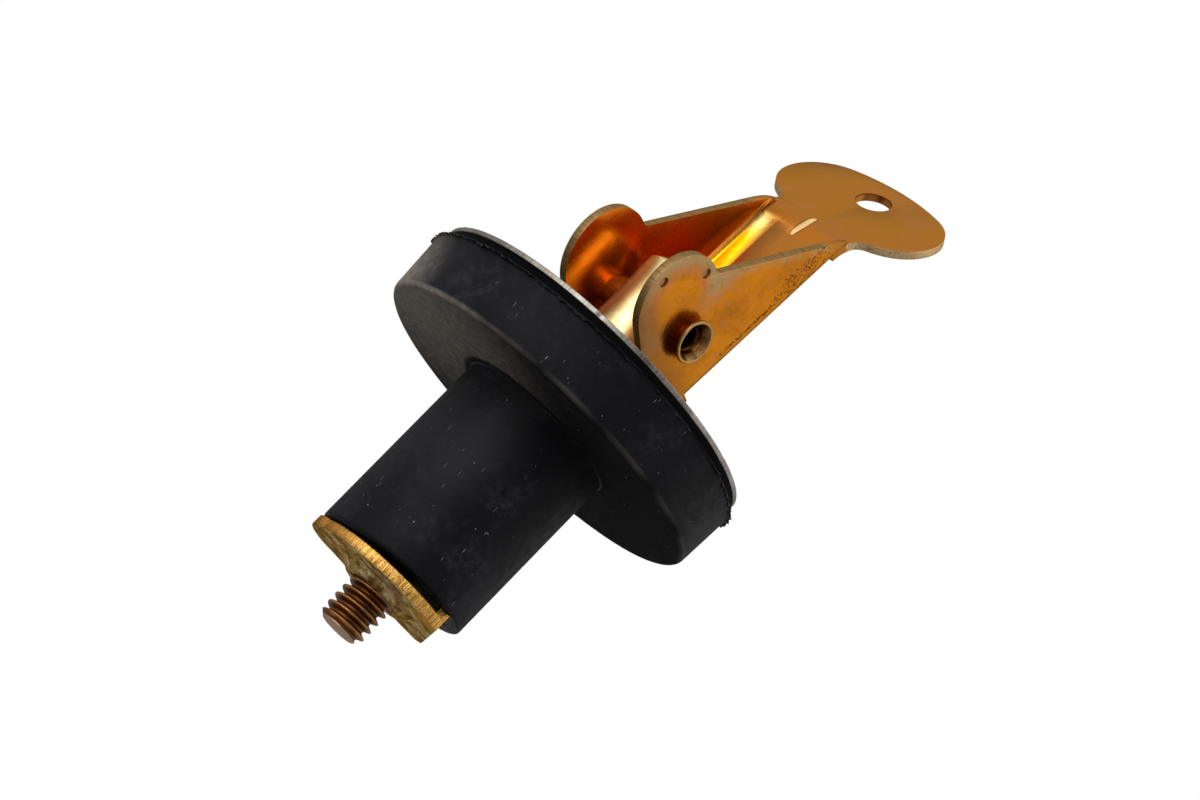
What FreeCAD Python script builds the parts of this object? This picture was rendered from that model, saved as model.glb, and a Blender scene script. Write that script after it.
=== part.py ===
"""Snap-lever drain plug: a rubber plug squeezed by a cam lever on a threaded stud.

Frame, in millimetres: the origin is the centre of the flange's sealing face, where the
stem starts. +Z runs along the plug's axis towards the lever, the lever turns about an
axis parallel to Y, and its open side faces +X. The lever is modelled open, leaning back
on its heels, as it stands before the plug is locked in its hole.
"""
import FreeCAD, Part
import math
import os

from FreeCAD import Vector

# Rubber plug
stem_diameter = 21.3
stem_length = 24.8
flange_diameter = 48.6        # at the parting line below the washer
flange_thickness = 9.2
flange_draft = 0.9            # how much smaller the flange is at its sealing face, in diameter
flange_edge_radius = 1.1      # rounded edge of the sealing face
parting_drop = 1.3            # from the washer down to the moulded parting line
parting_lip = 0.35            # how far the flash stands out at the parting line
washer_land_step = 0.7        # how much the rubber draws in above the parting line
stem_end_chamfer = 0.4
bore_clearance = 0.45         # around the stud, in the rubber and in the washer

# Cover washer
washer_diameter = 47.4
washer_thickness = 0.7
washer_edge_radius = 0.15

# Stud: a round bar head with a cross hole, turned down to a 1/4-20 thread
thread_diameter = 6.35
head_diameter = 9.0
head_above_pivot = 6.9        # from the pivot's axis to the crown of the head
head_crown_rise = 1.7
head_shoulder_gap = 0.3       # between the head's shoulder and the washer
thread_below_nut = 6.9
thread_end_chamfer = 0.8

# Cam lever: one stamped and folded sheet
sheet_thickness = 1.1
lever_width = 14.1            # over the two cheeks
fold_radius = 0.9             # inside the folds between the web and the cheeks
pivot_height = 10.1           # of the pivot's axis above the washer, lever open
lever_lean = 4.6              # degrees that the open lever leans back from the plug's axis
web_offset = 9.1              # from the pivot's axis to the back of the web
web_foot = -3.2               # where the web ends, along the lever from the pivot
heel_gap = 0.3                # between the cheeks' heels and the washer
heel_radius = 1.4
lobe_radius = 6.5             # cam lobe that bears on the washer when the lever is down
lobe_forward = 6.05           # centre of the lobe, towards the open side
lobe_along = 0.5              # centre of the lobe, along the lever
notch_along = 8.6             # where the lobe runs into the tapered edge
notch_radius = 1.2
edge_start_forward = 4.05     # tapered edge beside the notch
taper_end = 26.1              # where the tapered edge would meet the web, along the lever
dimple_radius = 0.65
dimple_depth = 0.3
dimple_inset = 1.5            # from the lobe's edge to the middle of each dimple
dimple_angles = (83.0, -10.0) # round the lobe, from the open side

# Thumb pad, bent back from the web
bend_along = 24.9             # where the web's face and the pad's face would meet
bend_angle = 32.0
bend_radius = 5.5             # at the back of the sheet
neck_width = 13.3
pad_width = 24.8
pad_end_radius = 6.9
pad_crown_along = 17.9        # from the bend's corner to the pad's far edge
pad_crown_radius = 25.0
neck_fillet = 1.7
lanyard_hole_diameter = 4.8
lanyard_hole_along = 12.6
dart_radius = 0.72            # stiffening dart pressed across the bend, sunk in front
dart_depth = 0.42
dart_length = 3.6             # of its proud side at the back

# Hollow pivot rivet
rivet_diameter = 4.6
rivet_bore = 2.8
rivet_flare_diameter = 5.9
rivet_proud = 1.45            # how far each flared end stands out of its cheek
rivet_lip = 0.35              # thickness of the flare's lip
rivet_running_gap = 0.05      # radial, in the stud's head

# Retaining nut plate
nut_thickness = 1.5
nut_length_ear = 10.9         # from the stud's axis to the rounded ear
nut_length_tab = 8.4          # from the stud's axis to the squared end
nut_half_width = 7.8
nut_ear_half_width = 4.2
nut_edge_swell = 0.5          # how far the inner long edge bows out between ear and squared end
nut_round_reach = 9.8         # from the stud's axis to the middle of the round long edge
nut_boss_diameter = 11.4
nut_boss_rise = 0.9
nut_boss_slope = 1.3          # how much the boss narrows at its top, in radius
nut_turn = 127.5              # of the squared end, degrees from the lever's open side
prong_width = 5.2
prong_height = 1.1            # above the plate, standing on the end of the stem
prong_offset = -3.6           # middle of the prong, from the plate's centre line
prong_seat_gap = 0.05
nut_corner_radius = 1.3

# Places that follow from the sizes above
washer_bottom = flange_thickness
washer_top = washer_bottom + washer_thickness
pivot_z = washer_top + pivot_height
stem_end = -stem_length
nut_bottom = stem_end - prong_seat_gap - prong_height - nut_thickness
thread_tip = nut_bottom - thread_below_nut
half_lever = lever_width / 2
bore_diameter = thread_diameter + 2 * bore_clearance
rivet_end = half_lever + rivet_proud


def point(forward, along, across=0.0):
    """A point of the lever's own frame: open side, up the web, along the pivot."""
    return Vector(forward, across, along)


def line(a, b):
    return Part.LineSegment(a, b).toShape()


def arc(a, middle, b):
    return Part.Arc(a, middle, b).toShape()


def on_circle(centre, radius, degrees):
    """A point on a circle in the XZ plane, from +X towards +Z."""
    turn = math.radians(degrees)
    return Vector(centre.x + radius * math.cos(turn), centre.y, centre.z + radius * math.sin(turn))


def circle_arc(centre, radius, first, last):
    """An arc in the XZ plane between two angles in degrees."""
    return arc(on_circle(centre, radius, first), on_circle(centre, radius, (first + last) / 2),
               on_circle(centre, radius, last))


def ring_section(points):
    """A closed section in the XZ plane turned round the Z axis."""
    wire = Part.makePolygon(points + points[:1])
    return Part.Face(wire).revolve(Vector(0, 0, 0), Vector(0, 0, 1), 360)


def rod(radius, low, high):
    return Part.makeCylinder(radius, high - low, Vector(0, 0, low))


def cross_rod(radius, half_length):
    """A rod along Y, centred on the pivot of the lever's own frame."""
    return Part.makeCylinder(radius, 2 * half_length, Vector(0, -half_length, 0), Vector(0, 1, 0))


def make_rubber_plug():
    """Flange and stem as one moulding, with the flash line below the washer."""
    top_radius = flange_diameter / 2
    low_radius = top_radius - flange_draft / 2
    land_radius = top_radius - washer_land_step
    part_line = washer_bottom - parting_drop
    lip_half = parting_lip / 2
    stem_radius = stem_diameter / 2
    edge = flange_edge_radius
    edge_centre = Vector(low_radius - edge, 0, edge)
    bore_radius = bore_diameter / 2
    corners = [
        Vector(bore_radius, 0, stem_end),
        Vector(stem_radius - stem_end_chamfer, 0, stem_end),
        Vector(stem_radius, 0, stem_end + stem_end_chamfer),
        Vector(stem_radius, 0, 0),
        Vector(low_radius - edge, 0, 0),
    ]
    after_edge = [
        Vector(low_radius, 0, edge),
        Vector(top_radius, 0, part_line - lip_half),
        Vector(top_radius + parting_lip, 0, part_line),
        Vector(top_radius, 0, part_line + lip_half),
        Vector(land_radius, 0, part_line + 2 * lip_half),
        Vector(land_radius, 0, washer_bottom),
        Vector(bore_radius, 0, washer_bottom),
        corners[0],
    ]
    edges = [line(a, b) for a, b in zip(corners, corners[1:])]
    edges.append(circle_arc(edge_centre, edge, -90, 0))
    edges += [line(a, b) for a, b in zip(after_edge, after_edge[1:])]
    section = Part.Face(Part.Wire(edges))
    return section.revolve(Vector(0, 0, 0), Vector(0, 0, 1), 360)


def make_cover_washer():
    """Flat stamped disc that spreads the cam's push over the flange."""
    disc = rod(washer_diameter / 2, washer_bottom, washer_top)
    disc = disc.cut(rod(bore_diameter / 2, washer_bottom - 1, washer_top + 1))
    rim = [e for e in disc.Edges if abs(e.Length - math.pi * washer_diameter) < 0.01]
    rim = [e for e in rim if abs(e.BoundBox.ZLength) < 1e-6]
    return disc.makeFillet(washer_edge_radius, rim)


def make_eye_stud():
    """Round bar head with its cross hole, and the shank down to the chamfered tip."""
    head_radius = head_diameter / 2
    thread_radius = thread_diameter / 2
    shoulder = washer_top + head_shoulder_gap
    crown = pivot_z + head_above_pivot
    rise = head_crown_rise
    crown_radius = (head_radius ** 2 + rise ** 2) / (2 * rise)
    half_turn = math.degrees(math.asin(head_radius / crown_radius)) / 2
    crown_centre = Vector(0, 0, crown - crown_radius)
    corners = [
        Vector(0, 0, thread_tip),
        Vector(thread_radius - thread_end_chamfer, 0, thread_tip),
        Vector(thread_radius, 0, thread_tip + thread_end_chamfer),
        Vector(thread_radius, 0, shoulder),
        Vector(head_radius, 0, shoulder),
        Vector(head_radius, 0, crown - rise),
    ]
    edges = [line(a, b) for a, b in zip(corners, corners[1:])]
    edges.append(arc(corners[-1], on_circle(crown_centre, crown_radius, 90 - half_turn),
                     Vector(0, 0, crown)))
    edges.append(line(Vector(0, 0, crown), corners[0]))
    body = Part.Face(Part.Wire(edges)).revolve(Vector(0, 0, 0), Vector(0, 0, 1), 360)
    hole = cross_rod(rivet_diameter / 2 + rivet_running_gap, head_diameter)
    hole.translate(Vector(0, 0, pivot_z))
    return body.cut(hole)


def heel_along():
    """How far below the pivot the heels end, so that they stand just off the washer."""
    lean = math.radians(lever_lean)
    drop = pivot_height - heel_gap - web_offset * math.sin(lean)
    return -drop / math.cos(lean)


def cheek_outline():
    """Side view of the lever: heel, tangent sole, cam lobe, notch, tapered edge and web."""
    lobe = point(lobe_forward, lobe_along)
    heel = point(-web_offset + heel_radius, heel_along() + heel_radius)
    reach = math.hypot(lobe.x - heel.x, lobe.z - heel.z)
    sole_turn = math.degrees(math.atan2(lobe.z - heel.z, lobe.x - heel.x)
                             - math.asin((lobe_radius - heel_radius) / reach))
    heel_out = on_circle(heel, heel_radius, sole_turn - 90)
    lobe_in = on_circle(lobe, lobe_radius, sole_turn - 90)

    edge_start = point(edge_start_forward, notch_along)
    edge_end = point(-web_offset + sheet_thickness, taper_end)
    run = edge_end - edge_start
    bend_start = bend_along - bend_reach()
    tip = edge_start + run * ((bend_start - edge_start.z) / run.z)
    run.normalize()
    across = Vector(run.z, 0, -run.x)
    notch = edge_start + across * notch_radius
    from_lobe = notch - lobe
    spread = from_lobe.Length
    # The notch's circle touches the tapered edge, and is slid along it to touch the lobe.
    wanted = lobe_radius + notch_radius
    along = from_lobe.dot(run)
    side = math.sqrt(max(spread ** 2 - along ** 2, 0.0))
    slide = math.sqrt(max(wanted ** 2 - side ** 2, 0.0)) - along
    notch = notch + run * slide
    lobe_out_turn = math.degrees(math.atan2(notch.z - lobe.z, notch.x - lobe.x))
    notch_in = on_circle(lobe, lobe_radius, lobe_out_turn)
    notch_out = notch - across * notch_radius
    middle = (notch_in + notch_out) * 0.5 - notch
    middle.normalize()
    # Past the start of the bend the cheek follows it, and fades into the neck.
    web_top = point(-web_offset, bend_start)
    front_end, back_end, bend_centre = bend_ends()
    swell = across * (0.03 * (front_end - tip).Length)
    tip_middle = (tip + front_end) * 0.5 + swell
    lobe_middle = (sole_turn - 90 + lobe_out_turn) / 2
    return Part.Wire([
        circle_arc(heel, heel_radius, 180, sole_turn + 270),
        line(heel_out, lobe_in),
        arc(lobe_in, on_circle(lobe, lobe_radius, lobe_middle), notch_in),
        arc(notch_in, notch + middle * notch_radius, notch_out),
        line(notch_out, tip),
        arc(tip, tip_middle, front_end),
        line(front_end, back_end),
        arc(back_end, on_circle(bend_centre, bend_radius, bend_angle / 2), web_top),
        line(web_top, on_circle(heel, heel_radius, 180)),
    ])


def channel_section(outer_half, back, front, radius):
    """Half-open slot shape in the XY plane, rounded at its two back corners."""
    near = outer_half - radius
    return Part.Wire([
        line(Vector(front, -outer_half, 0), Vector(back + radius, -outer_half, 0)),
        arc(Vector(back + radius, -outer_half, 0),
            Vector(back + radius * (1 - math.sqrt(0.5)), -near - radius * math.sqrt(0.5), 0),
            Vector(back, -near, 0)),
        line(Vector(back, -near, 0), Vector(back, near, 0)),
        arc(Vector(back, near, 0),
            Vector(back + radius * (1 - math.sqrt(0.5)), near + radius * math.sqrt(0.5), 0),
            Vector(back + radius, outer_half, 0)),
        line(Vector(back + radius, outer_half, 0), Vector(front, outer_half, 0)),
        line(Vector(front, outer_half, 0), Vector(front, -outer_half, 0)),
    ])


def upright(wire, low, high):
    """A section in the XY plane drawn up the lever between two heights."""
    face = Part.Face(wire)
    face.translate(Vector(0, 0, low))
    return face.extrude(Vector(0, 0, high - low))


def make_channel():
    """The folded part of the lever: web and cheeks, trimmed to the side view."""
    front = lobe_forward + lobe_radius + 1
    low = heel_along() - 1
    outside = channel_section(half_lever, -web_offset, front, fold_radius + sheet_thickness)
    inside = channel_section(half_lever - sheet_thickness, -web_offset + sheet_thickness,
                             front + 1, fold_radius)
    channel = upright(outside, web_foot, taper_end).cut(upright(inside, web_foot - 1, taper_end + 1))
    ear = Part.makeBox(front + web_offset, sheet_thickness, web_foot - low,
                       Vector(-web_offset, half_lever - sheet_thickness, low))
    channel = channel.fuse([ear, ear.mirror(Vector(0, 0, 0), Vector(0, 1, 0))])
    side_view = Part.Face(cheek_outline())
    side_view.translate(Vector(0, -half_lever - 1, 0))
    channel = channel.common(side_view.extrude(Vector(0, lever_width + 2, 0)))
    return channel.removeSplitter()


def pad_frame():
    """The corner where web and pad would meet, and the pad's directions along and out."""
    turn = math.radians(bend_angle)
    corner = point(-web_offset + sheet_thickness, bend_along)
    along = Vector(-math.sin(turn), 0, math.cos(turn))
    outward = Vector(math.cos(turn), 0, math.sin(turn))
    return corner, along, outward


def bend_reach():
    """From the corner to where the bend starts, measured on the sheet's front."""
    return (bend_radius + sheet_thickness) * math.tan(math.radians(bend_angle) / 2)


def bend_ends():
    """Front and back of the sheet where the bend ends, and the bend's centre."""
    corner, along, outward = pad_frame()
    front = corner + along * bend_reach()
    centre = corner + Vector(-bend_radius - sheet_thickness, 0, -bend_reach())
    return front, front - outward * sheet_thickness, centre


def make_bend():
    """The curved neck between the web and the pad."""
    end, back_end, centre = bend_ends()
    outer = bend_radius + sheet_thickness
    start = centre + Vector(outer, 0, 0)
    back_start = centre + Vector(bend_radius, 0, 0)
    section = Part.Wire([
        arc(start, on_circle(centre, outer, bend_angle / 2), end),
        line(end, back_end),
        arc(back_end, on_circle(centre, bend_radius, bend_angle / 2), back_start),
        line(back_start, start),
    ])
    face = Part.Face(section)
    face.translate(Vector(0, -neck_width / 2, 0))
    return face.extrude(Vector(0, neck_width, 0))


def pad_outline():
    """The pad seen square on: Y across, X along from the bend's corner."""
    half = pad_width / 2
    crown_centre = Vector(pad_crown_along - pad_crown_radius, 0, 0)
    # The crown's big arc and the end's small arc meet on the line through both centres.
    end_across = half - pad_end_radius
    depth = math.sqrt((pad_crown_radius - pad_end_radius) ** 2 - end_across ** 2)
    end_centre = Vector(crown_centre.x + depth, end_across, 0)
    shoulder_turn = math.atan2(end_centre.y, depth)
    shoulder = Vector(crown_centre.x + pad_crown_radius * math.cos(shoulder_turn),
                      pad_crown_radius * math.sin(shoulder_turn), 0)
    end_tip = Vector(end_centre.x, half, 0)
    outer_mid = end_centre + Vector(math.cos((shoulder_turn + math.pi / 2) / 2),
                                    math.sin((shoulder_turn + math.pi / 2) / 2), 0) * pad_end_radius
    neck = neck_width / 2
    fillet_centre = Vector(0, neck + neck_fillet, 0)
    gap = pad_end_radius + neck_fillet
    rise = math.sqrt(gap ** 2 - (end_centre.y - fillet_centre.y) ** 2)
    fillet_centre.x = end_centre.x - rise
    joint = end_centre + (fillet_centre - end_centre) * (pad_end_radius / gap)
    neck_point = Vector(fillet_centre.x, neck, 0)
    low_mid = (joint + end_tip) * 0.5 - end_centre
    low_mid.normalize()
    low_mid = end_centre + low_mid * pad_end_radius
    neck_mid = (joint + neck_point) * 0.5 - fillet_centre
    neck_mid.normalize()
    neck_mid = fillet_centre + neck_mid * neck_fillet
    start = Vector(bend_reach(), neck, 0)
    half_edges = [
        line(start, neck_point),
        arc(neck_point, neck_mid, joint),
        arc(joint, low_mid, end_tip),
        arc(end_tip, outer_mid, shoulder),
    ]
    crown = arc(shoulder, Vector(pad_crown_along, 0, 0), Vector(shoulder.x, -shoulder.y, 0))
    other = [e.mirror(Vector(0, 0, 0), Vector(0, 1, 0)) for e in half_edges]
    base = line(Vector(start.x, -start.y, 0), start)
    return Part.Wire(Part.__sortEdges__(half_edges + [crown] + other + [base]))


def sheet_placement(origin, along, outward):
    """Carries a flat frame onto the lever: X along, Y across, Z out of the front."""
    across = outward.cross(along)
    matrix = FreeCAD.Matrix(
        along.x, across.x, outward.x, origin.x,
        along.y, across.y, outward.y, origin.y,
        along.z, across.z, outward.z, origin.z,
        0, 0, 0, 1)
    return FreeCAD.Placement(matrix)


def make_pad():
    """The thumb pad with its lanyard hole, lying behind its front face."""
    flat = Part.Face(pad_outline())
    flat.translate(Vector(0, 0, -sheet_thickness))
    plate = flat.extrude(Vector(0, 0, sheet_thickness))
    hole = Part.makeCylinder(lanyard_hole_diameter / 2, 2 * sheet_thickness,
                             Vector(lanyard_hole_along, 0, -1.5 * sheet_thickness))
    plate = plate.cut(hole)
    plate.Placement = sheet_placement(*pad_frame())
    return plate


def press_dart(sheet):
    """The stiffening dart across the bend: a straight groove in front, proud at the back."""
    outer = bend_radius + sheet_thickness
    half_turn = math.radians(bend_angle / 2)
    apex = on_circle(bend_ends()[2], outer, bend_angle / 2)
    outward = Vector(math.cos(half_turn), 0, math.sin(half_turn))
    along = Vector(-math.sin(half_turn), 0, math.cos(half_turn))
    axis = apex + outward * (dart_radius - dart_depth)
    groove = Part.makeCylinder(dart_radius, 3 * dart_length, axis - along * 1.5 * dart_length, along)
    back_radius = dart_radius + sheet_thickness
    bead = Part.makeCylinder(back_radius, dart_length, axis - along * (dart_length / 2), along)
    behind = Part.makeBox(2 * dart_length, 4 * back_radius, 3 * sheet_thickness,
                          Vector(-dart_length, -2 * back_radius, -3.7 * sheet_thickness))
    behind.Placement = sheet_placement(apex, along, outward)
    return sheet.fuse(bead.common(behind)).cut(groove).removeSplitter()


def press_dimples(sheet):
    """Two round dimples by the lobe's edge on the outside of each cheek."""
    lobe = point(lobe_forward, lobe_along)
    for degrees in dimple_angles:
        middle = on_circle(lobe, lobe_radius - dimple_inset, degrees)
        for side in (-1, 1):
            start = Vector(middle.x, side * half_lever, middle.z)
            cutter = Part.makeCylinder(dimple_radius, 2 * dimple_depth,
                                       start - Vector(0, dimple_depth, 0), Vector(0, 1, 0))
            sheet = sheet.cut(cutter)
    return sheet


def stand_on_pivot(shape):
    """Leans a shape of the lever's own frame back and sets it on the pivot."""
    shape.rotate(Vector(0, 0, 0), Vector(0, 1, 0), -lever_lean)
    shape.translate(Vector(0, 0, pivot_z))
    return shape


def make_cam_lever():
    """The whole stamping, with the holes that the rivet is closed in."""
    channel = make_channel()
    between = lever_width - 2 * sheet_thickness
    trim = Part.makeBox(lever_width, between, taper_end,
                        Vector(-web_offset - 1, -between / 2, bend_along - bend_reach()))
    sheet = channel.cut(trim).fuse([make_bend(), make_pad()]).removeSplitter()
    sheet = press_dart(sheet)
    sheet = press_dimples(sheet)
    sheet = sheet.cut(cross_rod(rivet_diameter / 2, half_lever + 1))
    return stand_on_pivot(sheet)


def make_pivot_rivet():
    """Tubular rivet, flared like a funnel outside both cheeks."""
    tube = rivet_diameter / 2
    bore = rivet_bore / 2
    flare = rivet_flare_diameter / 2
    lip = rivet_lip / 2
    lip_centre = Vector(flare - lip, 0, rivet_end - lip)
    funnel = Vector(bore, 0, half_lever)
    edges = [
        line(Vector(bore, 0, 0), funnel),
        line(funnel, on_circle(lip_centre, lip, 180)),
        circle_arc(lip_centre, lip, 180, 0),
        line(on_circle(lip_centre, lip, 0), Vector(tube, 0, half_lever)),
        line(Vector(tube, 0, half_lever), Vector(tube, 0, 0)),
        line(Vector(tube, 0, 0), Vector(bore, 0, 0)),
    ]
    upper = Part.Face(Part.Wire(edges)).revolve(Vector(0, 0, 0), Vector(0, 0, 1), 360)
    rivet = upper.fuse(upper.mirror(Vector(0, 0, 0), Vector(0, 0, 1))).removeSplitter()
    rivet.rotate(Vector(0, 0, 0), Vector(1, 0, 0), 90)
    return stand_on_pivot(rivet)


def nut_outline():
    """Plan of the plate: a rounded ear on -X, a squared end on +X and one round long edge."""
    ear = nut_ear_half_width
    half = nut_half_width
    corner = nut_corner_radius
    ear_centre = Vector(-nut_length_ear + ear, 0, 0)
    tip = Vector(-nut_length_ear, 0, 0)
    ear_top = ear_centre + Vector(0, ear, 0)
    shoulder = Vector(nut_length_tab - corner, half, 0)
    side = (shoulder - ear_top).normalize()
    bow = (ear_top + shoulder) * 0.5 + Vector(-side.y, side.x, 0) * nut_edge_swell
    after_corner = Vector(nut_length_tab, half - corner, 0)
    round_end = Vector(nut_length_tab, corner - half, 0)

    def on_ear(degrees):
        turn = math.radians(degrees)
        return ear_centre + Vector(ear * math.cos(turn), ear * math.sin(turn), 0)

    return Part.Wire([
        arc(on_ear(225), on_ear(202.5), tip),
        arc(tip, on_ear(135), ear_top),
        arc(ear_top, bow, shoulder),
        arc(shoulder, Vector(shoulder.x, after_corner.y, 0)
            + Vector(corner, corner, 0) * math.sqrt(0.5), after_corner),
        line(after_corner, round_end),
        arc(round_end, Vector(0, -nut_round_reach, 0), on_ear(225)),
    ])


def make_retaining_nut():
    """Stamped plate with a raised boss round the thread and one prong bent into the rubber."""
    flat = Part.Face(nut_outline())
    plate = flat.extrude(Vector(0, 0, nut_thickness))
    boss_radius = nut_boss_diameter / 2
    boss = ring_section([
        Vector(0, 0, 0.2),
        Vector(boss_radius, 0, 0.2),
        Vector(boss_radius, 0, 0),
        Vector(boss_radius - nut_boss_slope, 0, -nut_boss_rise),
        Vector(0, 0, -nut_boss_rise),
    ])
    prong = Part.makeBox(nut_thickness, prong_width, nut_thickness + prong_height,
                         Vector(nut_length_tab - nut_thickness, prong_offset - prong_width / 2, 0))
    plate = plate.fuse([boss, prong]).removeSplitter()
    plate = plate.cut(rod(thread_diameter / 2, -nut_boss_rise - 1, nut_thickness + 1))
    plate.translate(Vector(0, 0, nut_bottom))
    plate.rotate(Vector(0, 0, 0), Vector(0, 0, 1), nut_turn)
    return plate


def main():
    os.makedirs("parts", exist_ok=True)
    nut = make_retaining_nut()
    nodes = {
        "rubber_plug": make_rubber_plug(),
        "cover_washer": make_cover_washer(),
        "eye_stud": make_eye_stud(),
        "cam_lever": make_cam_lever(),
        "pivot_rivet": make_pivot_rivet(),
        "retaining_nut": nut,
    }
    for name, shape in nodes.items():
        shape.exportStep("parts/" + name + ".step")
        box = shape.BoundBox
        print(name, "valid", shape.isValid(), "solids", len(shape.Solids),
              "volume", round(shape.Volume, 1), "z", round(box.ZMin, 2), round(box.ZMax, 2),
              "x", round(box.XMin, 2), round(box.XMax, 2))


main()
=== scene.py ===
"""Looks of a snap-lever drain plug, dressed over its CAD frame."""

import math
from functools import partial

import bmesh
import bpy
import numpy as np
from mathutils import Matrix, Vector


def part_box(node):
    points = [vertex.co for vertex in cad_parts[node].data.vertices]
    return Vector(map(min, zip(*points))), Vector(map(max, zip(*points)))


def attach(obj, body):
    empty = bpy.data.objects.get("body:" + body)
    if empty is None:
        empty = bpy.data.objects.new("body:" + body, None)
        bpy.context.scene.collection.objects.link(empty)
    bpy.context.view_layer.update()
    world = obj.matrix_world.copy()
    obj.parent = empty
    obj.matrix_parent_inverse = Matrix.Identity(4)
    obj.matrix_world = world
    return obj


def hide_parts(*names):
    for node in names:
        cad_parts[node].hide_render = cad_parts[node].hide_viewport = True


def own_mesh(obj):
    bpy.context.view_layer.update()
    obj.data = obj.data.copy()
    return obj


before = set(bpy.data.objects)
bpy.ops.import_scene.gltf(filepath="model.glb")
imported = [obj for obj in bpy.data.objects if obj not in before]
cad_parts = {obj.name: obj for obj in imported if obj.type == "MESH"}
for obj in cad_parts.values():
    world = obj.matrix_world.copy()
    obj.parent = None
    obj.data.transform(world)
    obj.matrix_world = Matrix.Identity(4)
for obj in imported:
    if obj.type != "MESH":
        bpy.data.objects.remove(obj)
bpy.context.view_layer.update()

bl_info = {
    "name": "Snap-Lever Drain Plug",
    "version": (1, 0, 0),
    "blender": (4, 5, 0),
    "location": "View3D > Sidebar > Drain Plug",
    "description": "Builds the rubber drain plug with its cam lever, stud, washer, rivet and nut",
    "category": "Object",
}

MM = 0.001
RUBBER_LOW, RUBBER_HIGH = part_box("rubber_plug")
WASHER_LOW, WASHER_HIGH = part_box("cover_washer")
STUD_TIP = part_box("eye_stud")[0].z
RIVET_LOW, RIVET_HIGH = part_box("pivot_rivet")
PIVOT_Z = (RIVET_LOW.z + RIVET_HIGH.z) / 2
LEAN = math.radians(4.6)         # how far the open lever leans back
BEND = math.radians(32.0)        # how far the pad is bent back from the web
HOLE = (-15.14, 35.29)           # the pad's hole, as in lever_point
CHEEK = 0.00705                  # from the middle to the outside of a cheek
MERGE = 2e-6                     # corners of a solid nearer than this are one
FLAT = math.radians(0.4)         # faces that turn less than this are one flat area
SHARP = math.radians(25.0)       # edges that turn more than this are rounded
CREASE = math.radians(35.0)      # edges that turn more than this are shaded sharp
FORWARD = Vector((math.cos(LEAN), 0, math.sin(LEAN)))
UPWARD = Vector((-math.sin(LEAN), 0, math.cos(LEAN)))


def lever_point(forward, along):
    """A point of the open lever, in millimetres out of its front and up its web from the pivot."""
    return Vector((0, 0, PIVOT_Z)) + (FORWARD * forward + UPWARD * along) * MM


def linear(hex_text):
    """sRGB hex to linear red, green, blue and alpha."""
    parts = [int(hex_text[i:i + 2], 16) / 255 for i in (1, 3, 5)]
    return tuple(c / 12.92 if c <= 0.04045 else ((c + 0.055) / 1.055) ** 2.4 for c in parts) + (1.0,)


def length(name, default, description):
    """A size property in metres."""
    return bpy.props.FloatProperty(name=name, description=description, default=default, min=0.0,
                                   unit="LENGTH", precision=5)


def altitude(name, default, description):
    """A property in metres for a height in the frame, which may be negative."""
    return bpy.props.FloatProperty(name=name, description=description, default=default,
                                   unit="LENGTH")


def level(name, default, description, low=0.0):
    """A property for a plain number that is never below low."""
    return bpy.props.FloatProperty(name=name, description=description, default=default, min=low)


def colour(name, hex_text, description):
    """A colour property from an sRGB hex value."""
    return bpy.props.FloatVectorProperty(name=name, description=description, subtype="COLOR",
                                         size=4, min=0.0, max=1.0, default=linear(hex_text))


class RubberSettings(bpy.types.PropertyGroup):
    """Sizes and colours of the moulded rubber."""
    stem_radius: length("Stem radius", 10.65 * MM, "Radius of the stem")
    bore_radius: length("Bore radius", 3.625 * MM, "Radius of the hole for the stud")
    low_radius: length("Lower rim radius", 23.85 * MM, "Flange radius at the sealing face")
    top_radius: length("Upper rim radius", 24.3 * MM, "Flange radius at the parting line")
    land_radius: length("Land radius", 23.6 * MM, "Flange radius above the parting line")
    parting_drop: length("Parting drop", 1.3 * MM, "From the washer down to the parting line")
    flash: length("Flash", 0.35 * MM, "How far the ragged flash stands out")
    end_draw: length("End draw", 1.0 * MM, "How far the stem's end is drawn on to the nut plate")
    base: colour("Rubber", "#121215", "Matt black rubber")
    # The bloom's grey also paints a sheen on the stem, where the key lamp reflects.
    bloom_and_sheen: colour("Bloom and sheen", "#333338", "Greyer bloom patches, and a painted sheen on the stem")
    speck: colour("Specks", "#b9b8b4", "Fine pale grit stuck to the surface")
    # The dust colour also paints a thin highlight round the lower rim.
    dust: colour("Dust", "#8d857c", "Grey-brown dust on one side, and a highlight round the lower rim")
    # Painted shade: deep black in the groove under the washer.
    groove: colour("Groove", "#040404", "Painted shade, deep black, in the groove under the washer")


class WasherSettings(bpy.types.PropertyGroup):
    """Sizes and colours of the cover washer."""
    edge_radius: length("Edge radius", 0.14 * MM, "Rounding of the sheared rim")
    steel: colour("Steel", "#98938b", "Bare stainless sheet")
    stain: colour("Stain", "#6f6a61", "Dull grime on the steel")


class StudSettings(bpy.types.PropertyGroup):
    """Sizes and colours of the stud."""
    thread_radius: length("Thread radius", 3.175 * MM, "Outside radius of the thread")
    pitch: length("Pitch", 1.27 * MM, "Pitch of the thread")
    thread_depth: length("Thread depth", 0.76 * MM, "From crest to root")
    chamfer: length("End chamfer", 0.8 * MM, "Chamfer at the tip")
    edge_bevel: length("Edge bevel", 0.18 * MM, "Rounding of the head's edges")
    split_height: altitude("Split height", -18 * MM, "Where the head's shank meets the thread")
    brass: colour("Turned brass", "#ecdca2", "Pale yellow brass of the head")
    bronze: colour("Dull brass", "#bfa768", "Darker tarnish of the head")
    thread_dark: colour("Thread flanks", "#613716", "Brown grime between the crests")
    thread_bright: colour("Thread crests", "#a97742", "Rubbed crests")
    tip: colour("Thread end", "#b08d74", "Paler face at the tip")


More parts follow.
